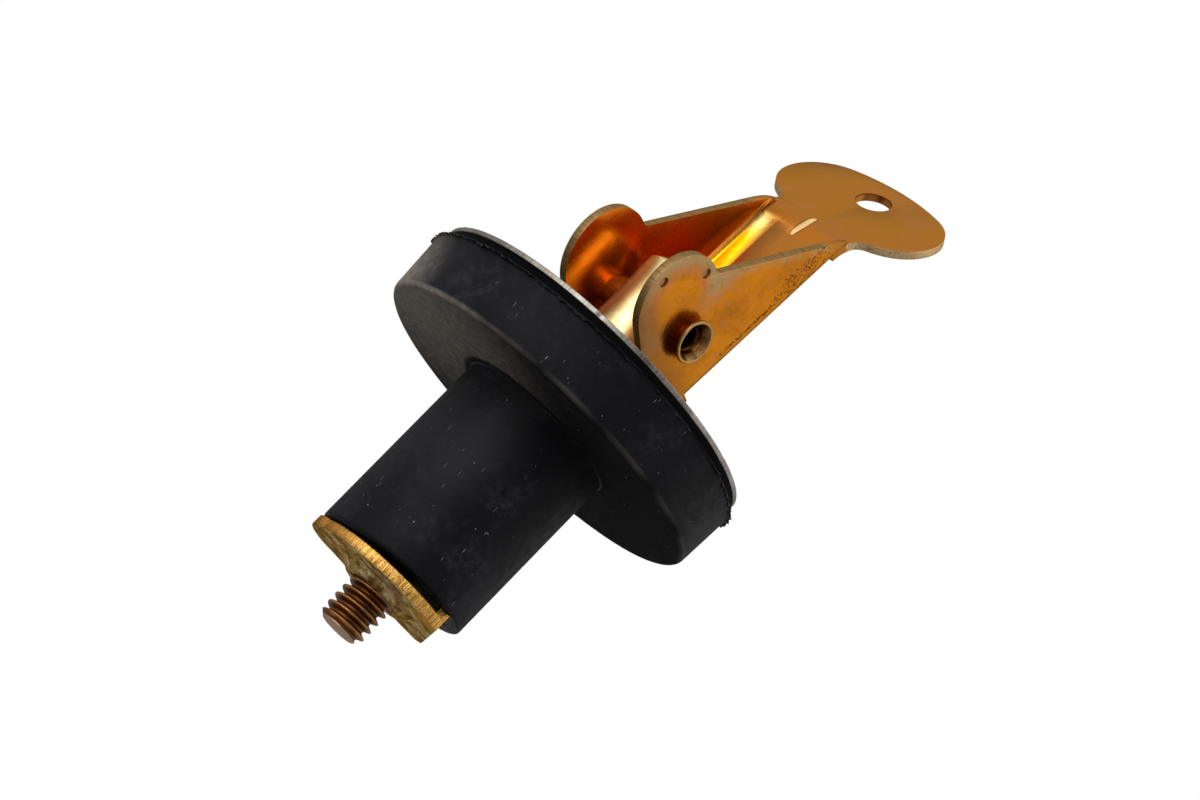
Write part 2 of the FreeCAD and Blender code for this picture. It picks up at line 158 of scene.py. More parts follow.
class LeverSettings(bpy.types.PropertyGroup):
    """Sizes and colours of the lever."""
    edge_bevel: length("Edge bevel", 0.13 * MM, "Rounding of the sheared edges")
    cheek: colour("Cheeks", "#bf7416", "Orange-gold plating on the cheeks")
    cloud: colour("Clouds", "#a5611a", "Browner clouds in the plating")
    # Painted light: lighter and redder inside the channel, for the light that the cheeks throw on
    # each other.
    inside: colour("Inside", "#d07017", "Painted light: lighter, redder inside the channel")
    # Painted reflection: darker amber low on the web.
    amber: colour("Lower web", "#a84c06", "Painted reflection: deep amber low on the web")
    # Painted highlight: the yellow band along the far fold.
    bright: colour("Fold", "#f7b50a", "Painted highlight: clear yellow beside the far fold")
    pale_highlight: colour("Pale highlight", "#efcf92", "Painted pale highlight at the fold's top and on the far wall of the dart")
    pad: colour("Pad", "#a66a2b", "Brown-gold plating of the thumb pad")
    olive: colour("Olive rim", "#9d845a", "Thin grey-green plating round the lobes")
    pink: colour("Pink rim", "#ad6b43", "Pink ring where the plating thins")
    # Real brown stains, and also painted shade beside the fold band, in the dart and round the
    # dimples.
    stain: colour("Stain", "#7d4f24", "Brown stains, and painted shade on the web, the dart and the dimples")
    sheared: colour("Sheared edge", "#8c7048", "Dull olive sheared edge")
    # Painted highlight along the sheared edge of the pad.
    rim: colour("Pad's edge", "#cdae80", "Painted highlight along the edge of the pad")
    pit: colour("Pits", "#33180b", "Dark pits and stains")


class RivetSettings(bpy.types.PropertyGroup):
    """Sizes and colours of the hollow rivet."""
    tube_radius: length("Tube radius", 2.3 * MM, "Outside radius of the tube")
    bore_radius: length("Bore radius", 1.4 * MM, "Inside radius of the tube")
    flare_radius: length("Flare radius", 2.92 * MM, "Outside radius of the flared ends")
    lip: length("Lip", 0.26 * MM, "Thickness of the flare's lip")
    metal: colour("Rivet metal", "#a98350", "Worn plated brass")
    stain: colour("Rivet stain", "#6a3f18", "Brown tarnish on the flare")
    plating: colour("Tube plating", "#d08a2c", "Orange plating left between the cheeks")
    bore_dark: colour("Rivet bore", "#1d1007", "Darker towards the bore")


class NutSettings(bpy.types.PropertyGroup):
    """Sizes and colours of the nut plate."""
    edge_bevel: length("Edge bevel", 0.14 * MM, "Rounding of the stamped edges")
    long_side: bpy.props.FloatVectorProperty(
        name="Long side", description="Direction of the plate's long edge", size=3,
        default=(math.cos(math.radians(127.5)), math.sin(math.radians(127.5)), 0.0))
    corner: bpy.props.FloatVectorProperty(name="Bright corner", description="Corner by the prong",
                                          size=3, default=(0.0011, 0.0114, -0.0265), unit="LENGTH")
    face: colour("Plate face", "#a98c5a", "Grey-gold mottled face")
    pale: colour("Plate highlights", "#d8c9a4", "Paler rubbed spots of the face")
    edge: colour("Plate edge", "#e3b25c", "Bright gold sheared edge")
    dull: colour("Plate edge ends", "#9a6a34", "Browner gold towards the ends of the edge")
    grime: colour("Plate grime", "#644a22", "Dark tarnish")


class StageSettings(bpy.types.PropertyGroup):
    """Camera, floor, lamps and surround."""
    floor_height: altitude("Floor height", -0.32, "Height of the pale floor")
    lens: level("Lens", 135.0, "Focal length in mm", 1.0)
    key_power: level("Key lamp", 2.9, "Watts")
    fill_power: level("Fill lamp", 0.5, "Watts")
    ambient: level("Ambient", 0.85, "World strength")
    room: level("Room", 0.25, "Brightness of the dim room beside the camera")


def connect(tree, node, sockets):
    """Fills a node's sockets: a node gives its first output in use, a socket gives itself, and
    anything else is the value."""
    for key, value in sockets.items():
        if isinstance(value, bpy.types.Node):
            value = next(output for output in value.outputs if output.enabled)
        if isinstance(value, bpy.types.NodeSocket):
            tree.links.new(value, node.inputs[key])
        else:
            node.inputs[key].default_value = value


def add(tree, kind, sockets=None, stops=None, **settings):
    """One shader node: its settings, its sockets, and the stops of a colour ramp. A Mix node
    takes the share in 0, and what it mixes in 2 and 3 (numbers), 4 and 5 (vectors) or 6 and 7
    (colours)."""
    node = tree.nodes.new("ShaderNode" + kind)
    for name, value in settings.items():
        setattr(node, name, value)
    connect(tree, node, sockets or {})
    if stops:
        elements = node.color_ramp.elements
        while len(elements) < len(stops):
            elements.new(0.5)
        for element, (place, tint) in zip(elements, stops):
            element.position = place
            element.color = tint
    return node


def new_material(name):
    """A material with a principled shader; returns the material, add for its tree, and connect
    for its shader."""
    material = bpy.data.materials.new(name)
    material.use_nodes = True
    tree = material.node_tree
    return material, partial(add, tree), partial(connect, tree, tree.nodes["Principled BSDF"])


def layered(node, measures, ramps, share, tint, layers):
    """Lays colours over a tint and returns the last. Each ramp makes a share out of a measure:
    it names the measure, where the share starts, where it is full and how strong it is then.
    Each layer multiplies the shares that it names and keeps the product under its own name; if
    it has a colour, that covers the ones before by as much."""
    for name, (of, start, full, most) in ramps.items():
        share[name] = node("MapRange", {"Value": measures[of], "From Min": start, "From Max": full,
                                        "To Max": most}, interpolation_type="SMOOTHSTEP")
    for layer, tone, names in layers:
        covering = 1.0
        for name in names:
            covering = node("Math", {0: share[name], 1: covering}, operation="MULTIPLY")
        share[layer] = covering
        if tone is not None:
            tint = node("Mix", {0: covering, 6: tint, 7: tone}, data_type="RGBA")
    return tint


def harmonics(angle, count, seed, power=1.0):
    """A closed wavy line round a circle: sines of 2 to count waves, each 1/waves**power high,
    with seeded phases, scaled to a spread of about one."""
    rng = np.random.default_rng(seed)
    waves = np.arange(2, count)
    phases = rng.uniform(0, 2 * np.pi, len(waves))
    weights = rng.uniform(0.4, 1.0, len(waves)) / waves ** power
    total = (np.sin(np.multiply.outer(angle, waves) + phases) * weights).sum(-1)
    return total / np.sqrt((weights ** 2).sum() / 2)


def rounded(corners, spacing, arc_steps):
    """A closed outline from corners (x, y, radius): each corner is replaced by an arc of its
    radius, tangent to both sides, and each straight run is divided so that no step is longer
    than spacing."""
    corners = np.asarray(corners, float)
    points = corners[:, :2]
    before = np.roll(points, 1, 0) - points
    after = np.roll(points, -1, 0) - points
    before /= np.linalg.norm(before, axis=1)[:, None]
    after /= np.linalg.norm(after, axis=1)[:, None]
    pieces = []
    for corner, a, b, radius in zip(points, before, after, corners[:, 2]):
        if radius == 0:
            pieces.append(corner[None])
            continue
        half = math.acos(max(-1.0, min(1.0, float(a @ b)))) / 2
        reach = radius / math.tan(half)
        bisector = (a + b) / np.linalg.norm(a + b)
        centre = corner + bisector * radius / math.sin(half)
        start = corner + a * reach - centre
        end = corner + b * reach - centre
        turn = math.atan2(start[0] * end[1] - start[1] * end[0], float(start @ end))
        steps = np.linspace(0, turn, arc_steps)
        pieces.append(centre + np.stack([
            start[0] * np.cos(steps) - start[1] * np.sin(steps),
            start[0] * np.sin(steps) + start[1] * np.cos(steps)], 1))
    points = np.concatenate(pieces)
    runs = np.roll(points, -1, 0) - points
    counts = np.maximum(1, np.ceil(np.linalg.norm(runs, axis=1) / spacing)).astype(int)
    index = np.repeat(np.arange(len(points)), counts)
    share = np.concatenate([np.arange(n) / n for n in counts])
    return points[index] + runs[index] * share[:, None]


def new_object(name, data):
    """An object in the scene that shows the data."""
    item = bpy.data.objects.new(name, data)
    bpy.context.scene.collection.objects.link(item)
    return item


def surface(name, points, material, close_rows=True):
    """A smooth mesh from a grid of points (rows, columns, 3): neighbours make quads, each row
    closes on itself, the last row may join the first, and the faces are turned outward."""
    rows, columns = points.shape[:2]
    row = np.arange(rows if close_rows else rows - 1)
    r, c = np.meshgrid(row, np.arange(columns), indexing="ij")
    r2, c2 = (r + 1) % rows, (c + 1) % columns
    quads = np.stack([r * columns + c, r2 * columns + c, r2 * columns + c2, r * columns + c2], -1)
    quads = quads.reshape(-1, 4)
    flat = points.reshape(-1, 3)
    a, b, d = (flat[quads[:, i]] for i in (0, 1, 3))
    if (np.cross(b - a, d - a) * flat[quads].mean(1)).sum() < 0:
        quads = quads[:, ::-1]
    mesh = bpy.data.meshes.new(name)
    mesh.vertices.add(len(flat))
    mesh.vertices.foreach_set("co", flat.astype(np.float32).ravel())
    mesh.loops.add(quads.size)
    mesh.loops.foreach_set("vertex_index", quads.astype(np.int32).ravel())
    mesh.polygons.add(len(quads))
    mesh.polygons.foreach_set("loop_start", np.arange(0, quads.size, 4, dtype=np.int32))
    mesh.polygons.foreach_set("use_smooth", np.ones(len(quads), bool))
    mesh.update(calc_edges=True)
    mesh.validate()
    mesh.materials.append(material)
    return new_object(name, mesh)


def turned(name, outline, angles, material, growth, axis="Z", centre=(0, 0, 0)):
    """A closed outline (radius r, height h) carried round an axis by the angle a: x = r cos a,
    y = r sin a, z = h about Z, or x = r cos a, y = h, z = -r sin a about Y. Growth is added to
    r and h, and may differ for each angle (row) and point of the outline (column)."""
    radius, height = np.broadcast_arrays(outline[:, 0] + growth[0], outline[:, 1] + growth[1])
    x = radius * np.cos(angles)[:, None]
    y = radius * np.sin(angles)[:, None]
    points = np.stack([x, y, height] if axis == "Z" else [x, height, -y], -1)
    return surface(name, points + np.asarray(centre, float), material)


def around(count):
    """Evenly spaced angles round a full circle."""
    return np.linspace(0, 2 * np.pi, count, endpoint=False)


def eased_copy(node, name, material, width, cut=None):
    """A copy of a CAD node: loose triangles are merged, what lies below the cut is left out,
    flat areas are made whole, and sharp edges are rounded by the width."""
    mesh = bmesh.new()
    mesh.from_mesh(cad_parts[node].data)
    bmesh.ops.remove_doubles(mesh, verts=mesh.verts, dist=MERGE)
    if cut is not None:
        geometry = mesh.verts[:] + mesh.edges[:] + mesh.faces[:]
        below = bmesh.ops.bisect_plane(mesh, geom=geometry, plane_co=(0, 0, cut),
                                       plane_no=(0, 0, 1), clear_inner=True)
        rim = [e for e in below["geom_cut"] if isinstance(e, bmesh.types.BMEdge)]
        bmesh.ops.edgeloop_fill(mesh, edges=rim)
        bmesh.ops.recalc_face_normals(mesh, faces=mesh.faces)
    bmesh.ops.dissolve_limit(mesh, angle_limit=FLAT, verts=mesh.verts, edges=mesh.edges)
    sharp = [e for e in mesh.edges if len(e.link_faces) == 2 and e.calc_face_angle(0.0) > SHARP]
    bmesh.ops.bevel(mesh, geom=sharp, offset=width, offset_type="OFFSET", segments=2,
                    profile=0.5, affect="EDGES", clamp_overlap=True)
    bmesh.ops.triangulate(mesh, faces=[f for f in mesh.faces if len(f.verts) > 4])
    data = bpy.data.meshes.new(name)
    data.materials.append(material)
    mesh.to_mesh(data)
    mesh.free()
    data.shade_smooth()
    data.set_sharp_from_angle(angle=CREASE)
    return new_object(name, data)


def matt_black_rubber(look):
    """Compression-moulded black rubber, a few years old: very dark and dry, slightly bloomed,
    with pale grit, a few scratches and grey-brown dust on one side. Also painted: a sheen on the
    stem, a highlight, partly dust, round the lower rim, and deep shade in the groove under the
    washer."""
    material, node, shade = new_material("matt_black_rubber")
    # Sizes and places below are in millimetres.
    place = node("VectorMath", {0: node("TexCoord").outputs["Object"], "Scale": 1000.0},
                 operation="SCALE")
    flat = node("VectorMath", {0: place, 1: (1.0, 1.0, 0.0)}, operation="MULTIPLY")
    # Bloom in patches about 8 mm across, broken up into smears 1 mm across; waves 3 mm across
    # and pebbling 0.2 mm across in the relief.
    patches, smears, waves, pebbles = (
        node("TexNoise", {"Vector": place, "Scale": scale, "Detail": detail, "Roughness": rough,
                          "Distortion": bent})
        for scale, detail, rough, bent in ((0.125, 2.0, 0.5, 0.0), (0.8, 6.0, 0.68, 0.25),
                                           (0.33, 5.0, 0.5, 0.0), (5.0, 2.0, 0.5, 0.0)))
    measures = {
        "height": node("SeparateXYZ", {0: place}).outputs["Z"],
        "radius": node("VectorMath", {0: flat}, operation="LENGTH"),
        "from the dusty end": node("VectorMath", {0: place, 1: (15.0, -16.5, 0.0)},
                                   operation="DISTANCE"),
        # Centre of the painted sheen on the stem.
        "from the sheen spot": node("VectorMath", {0: place, 1: (10.0, 1.2, -9.5)},
                                     operation="DISTANCE"),
        "patches": patches,
        "smears": smears,
    }
    # Scratches 0.08 mm wide and 1 to 3 mm long, in three directions, few deep enough to show.
    marks = 0.0
    for turn in ((0.5, 0.9, 0.2), (1.7, 0.3, 1.1), (2.4, 1.9, 0.6)):
        stretched = node("Mapping", {"Vector": place, "Rotation": turn, "Scale": (7.0, 7.0, 0.5)})
        streaks = node("TexNoise", {"Vector": stretched, "Scale": 1.0, "Detail": 1.0})
        streak = node("MapRange", {"Value": streaks, "From Min": 0.79, "From Max": 0.84})
        marks = node("Math", {0: streak, 1: marks}, operation="MAXIMUM")
    # Grit: irregular dots 0.1 to 0.2 mm across, in a few of the cells.
    wobbly = node("Mix", {0: 0.4, 4: place, 5: smears.outputs["Color"]}, data_type="VECTOR")
    for cell, size, rarity in ((0.75, 0.11, 0.86), (1.4, 0.08, 0.88), (0.5, 0.11, 0.85)):
        cells = node("TexVoronoi", {"Vector": wobbly, "Scale": 1.0 / cell})
        kept = node("Math", {0: cells.outputs["Color"], 1: rarity}, operation="GREATER_THAN")
        dot = node("MapRange", {"Value": cells, "From Min": size, "From Max": size * 0.5})
        grit = node("Math", {0: dot, 1: kept}, operation="MULTIPLY")
        marks = node("Math", {0: grit, 1: marks}, operation="MAXIMUM")
    line = (RUBBER_HIGH.z - look.parting_drop) / MM
    ramps = {
        "bloom": ("patches", 0.46, 0.74, 0.65),
        "smear": ("smears", 0.36, 0.70, 1.0),
        # The painted sheen fades out 9.5 mm from its centre.
        "rubbed": ("from the sheen spot", 9.5, 1.0, 0.4),
        "underneath": ("height", 0.7, 0.1, 1.0),
        "clear of the stem": ("radius", 11.3, 12.2, 1.0),
        "dust below": ("from the dusty end", 29.0, 8.0, 1.0),
        "dust beside": ("from the dusty end", 12.0, 1.5, 0.9),
        # A thin line round the lower rim: partly dust, partly a painted highlight.
        "low": ("height", 0.75, 0.35, 0.14),
        "outermost": ("radius", 23.15, 23.5, 1.0),
        "uneven": ("patches", 0.38, 0.6, 1.0),
        # The groove under the washer, where the painted shade lies.
        "groove": ("height", line + 0.05, line + 0.25, 1.0),
        "low enough": ("height", 0.4, 0.1, 1.0),
        "off the stem": ("radius", 10.72, 10.95, 1.0),
    }
    share = {
        "half": 0.5,
        "marks": marks,
        "cover": node("MapRange", {"Value": smears, "From Min": 0.36, "From Max": 0.70,
                                   "To Min": 0.55}, interpolation_type="SMOOTHSTEP"),
    }
    tint = layered(node, measures, ramps, share, look.base, (
        ("bloomed patches", look.bloom_and_sheen, ("bloom", "smear")),
        # A painted sheen on the stem's side toward the key lamp.
        ("rubbed side", look.bloom_and_sheen, ("rubbed", "cover")),
        ("dusty face", look.dust, ("underneath", "clear of the stem", "dust below", "cover")),
        ("dusty side", look.dust, ("dust beside", "cover")),
        # Dust and a painted highlight in a thin line round the lower rim.
        ("dusty rim", look.dust, ("low", "outermost", "uneven")),
        ("pale marks", look.speck, ("marks", "half")),
        # Painted shade under the washer.
        ("black groove", look.groove, ("groove",)),
        ("sealing face", None, ("low enough", "off the stem"))))
    # The sealing face and the groove are driest.
    dry = node("MapRange", {"Value": smears, "From Min": 0.3, "From Max": 0.7, "To Min": 0.34,
                            "To Max": 0.6})
    driest = node("Math", {0: share["sealing face"], 1: share["groove"]}, operation="MAXIMUM")
    relief = {}
    for height, strength, depth in ((waves, 0.4, 0.0003), (pebbles, 0.5, 0.00004),
                                    (marks, 0.5, 0.00004)):
        relief = {"Normal": node("Bump", {"Height": height, "Strength": strength,
                                          "Distance": depth, **relief})}
    shade({"Base Color": tint, "Roughness": node("Mix", {0: driest, 2: dry, 3: 0.9}),
           "Specular IOR Level": 0.06, **relief})
    return material


def rolled_stainless_sheet(look):
    """Cold-rolled stainless sheet, sheared: bright grey with fine lines across its rim."""
    material, node, shade = new_material("rolled_stainless_sheet")
    place = node("TexCoord").outputs["Object"]
    # Shear lines 0.25 mm apart that run through the thickness.
    upright = node("Mapping", {"Vector": place, "Scale": (4000.0, 4000.0, 300.0)})
    lines = node("TexNoise", {"Vector": upright, "Scale": 1.0, "Detail": 3.0, "Roughness": 0.6})
    clouds = node("TexNoise", {"Vector": place, "Scale": 240.0, "Detail": 4.0})
    grime = node("Math", {0: lines, 1: clouds}, operation="MULTIPLY")
    tint = node("ValToRGB", {"Fac": grime}, stops=[(0.16, look.stain), (0.34, look.steel)])
    shade({"Base Color": tint, "Metallic": 1.0,
           "Roughness": node("MapRange", {"Value": clouds, "To Min": 0.3, "To Max": 0.5}),
           "Normal": node("Bump", {"Height": lines, "Strength": 0.5, "Distance": 0.00004})})
    return material


def drawn_brass_bar(look):
    """Drawn brass bar, handled and dull: pale yellow with lines along its length."""
    material, node, shade = new_material("drawn_brass_bar")
    place = node("TexCoord").outputs["Object"]
    along = node("Mapping", {"Vector": place, "Scale": (2500.0, 2500.0, 60.0)})
    lines = node("TexNoise", {"Vector": along, "Scale": 1.0, "Detail": 3.0})
    clouds = node("TexNoise", {"Vector": place, "Scale": 380.0, "Detail": 5.0, "Roughness": 0.65})
    tarnish = node("ValToRGB", {"Fac": clouds}, stops=[(0.42, look.brass), (0.68, look.bronze)])
    lined = node("MapRange", {"Value": lines, "From Min": 0.3, "From Max": 0.7, "To Max": 0.3})
    tint = node("Mix", {0: lined, 6: tarnish, 7: look.bronze}, data_type="RGBA")
    shade({"Base Color": tint, "Metallic": 1.0, "Specular Tint": linear("#f2e6c6"),
           "Roughness": node("MapRange", {"Value": clouds, "To Min": 0.3, "To Max": 0.48}),
           "Normal": node("Bump", {"Height": lines, "Strength": 0.35, "Distance": 0.00003})})
    return material


def rolled_brass_thread(look):
    """Rolled brass thread: rubbed crests over grimy brown flanks, and a paler end."""
    material, node, shade = new_material("rolled_brass_thread")
    place = node("TexCoord").outputs["Object"]
    flat = node("Mapping", {"Vector": place, "Scale": (1.0, 1.0, 0.0)})
    radius = node("VectorMath", {0: flat}, operation="LENGTH")
    crest = node("MapRange", {"Value": radius, "From Min": look.thread_radius - look.thread_depth,
                              "From Max": look.thread_radius})
    clouds = node("TexNoise", {"Vector": place, "Scale": 1500.0, "Detail": 5.0, "Roughness": 0.7})
    spread = node("MapRange", {"Value": clouds, "From Min": 0.25, "From Max": 0.75,
                               "To Min": -0.35, "To Max": 0.35})
    rubbed = node("Math", {0: crest, 1: spread}, operation="ADD")
    tint = node("ValToRGB", {"Fac": rubbed},
                stops=[(0.6, look.thread_dark), (1.1, look.thread_bright)])
    height = node("SeparateXYZ", {0: place}).outputs["Z"]
    end = node("MapRange", {"Value": height, "From Min": STUD_TIP + 0.00025,
                            "From Max": STUD_TIP + 0.0001})
    tint = node("Mix", {0: end, 6: tint, 7: look.tip}, data_type="RGBA")
    shade({"Base Color": tint, "Metallic": 0.9,
           "Roughness": node("MapRange", {"Value": clouds, "To Min": 0.3, "To Max": 0.6}),
           "Normal": node("Bump", {"Height": clouds, "Strength": 0.4, "Distance": 0.00006})})
    return material


def tarnished_brass_sheet(look):
    """Stamped sheet with a warm yellow-orange passivated plating: orange-gold with browner
    clouds, thin olive and pink rims round the lobes, a brown-gold pad, dull olive sheared edges,
    and dark pits along the near fold. Painted light and shade: a lighter, redder inside, deep
    amber low on the web, a yellow highlight along the far fold with brown shade beside it, a
    highlight and shade on the dart's walls, shade round the dimples and a highlight along the
    edge of the pad."""
    material, node, shade = new_material("tarnished_brass_sheet")
    # Sizes and places below are in millimetres, out of the front and up the web from the pivot.
    place = node("VectorMath", {0: node("TexCoord").outputs["Object"], "Scale": 1000.0},
                 operation="SCALE")
    local = node("VectorMath", {0: place, 1: lever_point(0, 0) / MM}, operation="SUBTRACT")
    # Clouds 6 mm across, a film 2 mm across, stains 1.5 mm across and pits 0.25 mm across. Shear
    # lines 0.2 mm apart run through the thickness of the edges.
    lined = node("Mapping", {"Vector": place, "Scale": (5.0, 0.25, 5.0)})
    noises = {"clouds": (place, 0.15, 6.0, 0.62, 0.6), "film": (place, 0.42, 4.0, 0.6, 0.0),
              "stains": (place, 0.68, 6.0, 0.7, 0.5), "pits": (place, 3.0, 4.0, 0.72, 0.0),
              "lines": (lined, 1.0, 3.0, 0.65, 0.0)}
    measures = {name: node("TexNoise", {"Vector": source, "Scale": scale, "Detail": detail,
                                        "Roughness": rough, "Distortion": bent})
                for name, (source, scale, detail, rough, bent) in noises.items()}
    slope = Vector((0.8236, 0.5671))
    taper_start = slope.dot(Vector((4.05, 8.6)))
    across = Vector((0, 1, 0))
    directions = {"forward": FORWARD, "along": UPWARD, "across": across,
                  "taper": FORWARD * slope.x + UPWARD * slope.y, "band": across + UPWARD * 0.085}
    for name, direction in directions.items():
        measures[name] = node("VectorMath", {0: local, 1: direction}, operation="DOT_PRODUCT")
    side_view = node("CombineXYZ", {"X": measures["forward"], "Y": measures["along"]})
    centres = {"lobe": (6.05, 0.5, 0.0), "upper dimple": (6.66, 5.46, 0.0),
               "lower dimple": (10.97, -0.37, 0.0), "bend": (-14.6, 23.0, 0.0),
               "dart's middle": (-8.26, 24.82, 0.0)}
    for name, centre in centres.items():
        measures[name] = node("VectorMath", {0: side_view, 1: centre}, operation="DISTANCE")
    measures["off centre"] = node("Math", {0: measures["across"]}, operation="ABSOLUTE")
    measures["ragged lobe"] = node("Math", {0: measures["film"], 1: 2.2, 2: measures["lobe"]},
                                   operation="MULTIPLY_ADD")
    measures["dimple"] = node("Math", {0: measures["upper dimple"], 1: measures["lower dimple"]},
                              operation="MINIMUM")
    ramps = {
        "cloudy": ("clouds", 0.42, 0.68, 0.8),
        "filmed": ("film", 0.25, 0.75, 1.0),
        "stained": ("stains", 0.52, 0.70, 0.5),
        "blushed": ("stains", 0.48, 0.34, 0.6),
        "pad": ("along", 21.5, 26.5, 1.0),
        "below the bend": ("along", 26.5, 21.5, 1.0),
        "foot": ("along", 0.5, -5.5, 0.75),
        "above the lobe": ("along", 7.0, 9.0, 1.0),
        "front": ("forward", 0.5, 4.5, 1.0),
        "pink ring": ("ragged lobe", 4.1, 5.6, 0.65),
        "olive ring": ("ragged lobe", 5.4, 7.0, 0.9),
        "tapered": ("taper", taper_start - 1.6, taper_start + 0.2, 1.0),
        # Painted shade round the walls of the dimples.
        "dimple wall": ("dimple", 0.85, 0.6, 0.5),
        "dimple floor": ("dimple", 0.55, 0.2, 1.0),
        "outside": ("off centre", 6.4, 6.9, 1.0),
        "between": ("off centre", 6.4, 6.1, 1.0),
        "off the back": ("forward", -8.8, -8.4, 1.0),
        "web": ("forward", -7.2, -7.9, 1.0),
        "low on the web": ("along", 21.0, 13.0, 0.9),
        "shaded": ("across", 0.5, -2.6, 0.85),
        "band's near side": ("band", -1.3, -3.1, 1.0),
        "band's far side": ("across", -5.75, -5.2, 1.0),
        "band's end": ("along", 24.2, 22.4, 1.0),
        "band's top": ("along", 18.5, 23.0, 0.8),
        "in the dart": ("bend", 6.59, 6.5, 1.0),
        "above its floor": ("bend", 5.8, 6.0, 1.0),
        "near its middle": ("dart's middle", 2.6, 2.3, 1.0),
        "beside the dart": ("off centre", 0.75, 0.66, 1.0),
        "dart's far rim": ("across", -0.66, -0.4, 1.0),
        # The dart's walls: a painted highlight on the far one, painted shade on the near one.
        "dart's far wall": ("across", 0.2, 0.05, 0.8),
        "dart's near wall": ("across", 0.1, 0.25, 1.0),
        "row's back": ("forward", -7.35, -6.95, 1.25),
        "row's front": ("forward", -6.35, -6.75, 1.0),
        "row's foot": ("along", 0.0, 4.0, 1.0),
        "row's top": ("along", 16.0, 12.0, 1.0),
        "patch's front": ("forward", -3.6, -5.6, 1.0),
        "patch's foot": ("along", 10.5, 14.0, 1.0),
        "shear line": ("lines", 0.5, 0.36, 0.45),
    }
    share = {"edge": node("Attribute", attribute_name="sheared").outputs["Fac"]}
    # The web's inside has a painted yellow highlight beside the far fold, where it bows round into
    # the cheek, and painted brown shade beside that.
    tint = layered(node, measures, ramps, share, look.cheek, (
        ("clouds", look.cloud, ("cloudy",)),
        ("pad", look.pad, ("pad",)),
        ("pad's clouds", look.pink, ("pad", "filmed", "cloudy")),
        ("pink ring", look.pink, ("pink ring", "front")),
        ("olive ring", look.olive, ("olive ring", "front")),
        ("taper", look.olive, ("tapered", "above the lobe", "filmed", "below the bend")),
        ("stains", look.stain, ("stained", "below the bend")),
        ("blush", look.pink, ("blushed", "below the bend")),
        # Browner below the pivot, towards the foot.
        ("foot", look.stain, ("foot",)),
        # Painted shade round the walls of the dimples.
        ("dimple wall", look.stain, ("dimple wall", "outside")),
        ("dimple floor", look.pink, ("dimple floor", "outside")),
        # Painted light inside the channel, lighter and redder.
        ("channel", look.inside, ("between", "off the back", "below the bend")),
        ("web", look.pad, ("channel", "web")),
        # Painted reflection, deep amber, low on the web.
        ("low web", look.amber, ("web", "low on the web")),
        # Painted shade beside the fold band.
        ("web's shade", look.stain, ("web", "shaded")),
        # Painted highlight beside the far fold, paler at its top.
        ("web's band", look.bright, ("web", "band's near side", "band's far side", "band's end")),
        ("band's top", look.pale_highlight, ("web's band", "band's top")),
        ("dart", None, ("in the dart", "above its floor", "near its middle", "beside the dart")),
        # Painted highlight on the far wall of the dart, and painted shade on its near wall.
        ("dart's far wall", look.pale_highlight, ("dart", "dart's far wall", "dart's far rim")),
        ("dart's near wall", look.stain, ("dart", "dart's near wall")),
        ("edge", look.sheared, ("edge",)),
        # Painted highlight along the edge of the pad.
        ("pad's edge", look.rim, ("edge", "pad")),
        ("shear lines", look.pit, ("edge", "shear line")),
        ("row", None, ("row's back", "row's front", "row's foot", "row's top")),
        ("patch", None, ("patch's front", "patch's foot"))))
    # Pits: a line beside the near fold, and a patch of them near its top.
    where = node("Math", {0: share["row"], 1: share["patch"]}, operation="MAXIMUM")
    nearby = node("MapRange", {"Value": measures["across"], "From Min": 6.4, "From Max": 6.9})
    for factor in (nearby, share["below the bend"], measures["film"]):
        where = node("Math", {0: where, 1: factor}, operation="MULTIPLY")
    depth = node("Math", {0: where, 1: 0.34, 2: measures["pits"]}, operation="MULTIPLY_ADD")
    pitted = node("MapRange", {"Value": depth, "From Min": 0.69, "From Max": 0.76, "To Max": 0.85})
    tint = node("Mix", {0: pitted, 6: tint, 7: look.pit}, data_type="RGBA")
    # Less metal where the painted highlight of the dart and the painted shade of the dimples lie, so
    # that their painted colours show.
    rubbed = node("Math", {0: share["dart's far wall"], 1: share["dimple wall"]},
                  operation="MAXIMUM")
    sheen = node("MapRange", {"Value": measures["clouds"], "To Min": 0.2, "To Max": 0.34})
    dull = node("Math", {0: share["edge"], 1: share["dart"]}, operation="MAXIMUM")
    # The web rises a little into the far fold, by 0.4 mm over 3 mm.
    rise = node("MapRange", {"Value": measures["across"], "From Min": -3.05, "From Max": -5.95})
    rise = node("Math", {0: rise, 1: share["web"]}, operation="MULTIPLY")
    cuts = node("Math", {0: measures["lines"], 1: share["edge"]}, operation="MULTIPLY")
    relief = {}
    for height, strength, reach, sunk in (
            (rise, 1.0, 0.0004, False), (cuts, 0.6, 0.0001, False),
            (measures["film"], 0.35, 0.00016, False), (pitted, 0.6, 0.00004, True)):
        relief = {"Normal": node("Bump", {"Height": height, "Strength": strength,
                                          "Distance": reach, **relief}, invert=sunk)}
    shade({"Base Color": tint, "Specular Tint": linear("#efdcbc"),
           "Metallic": node("MapRange", {"Value": rubbed, "To Min": 1.0, "To Max": 0.3}),
           "Roughness": node("Mix", {0: dull, 2: sheen, 3: 0.45}), **relief})
    return material


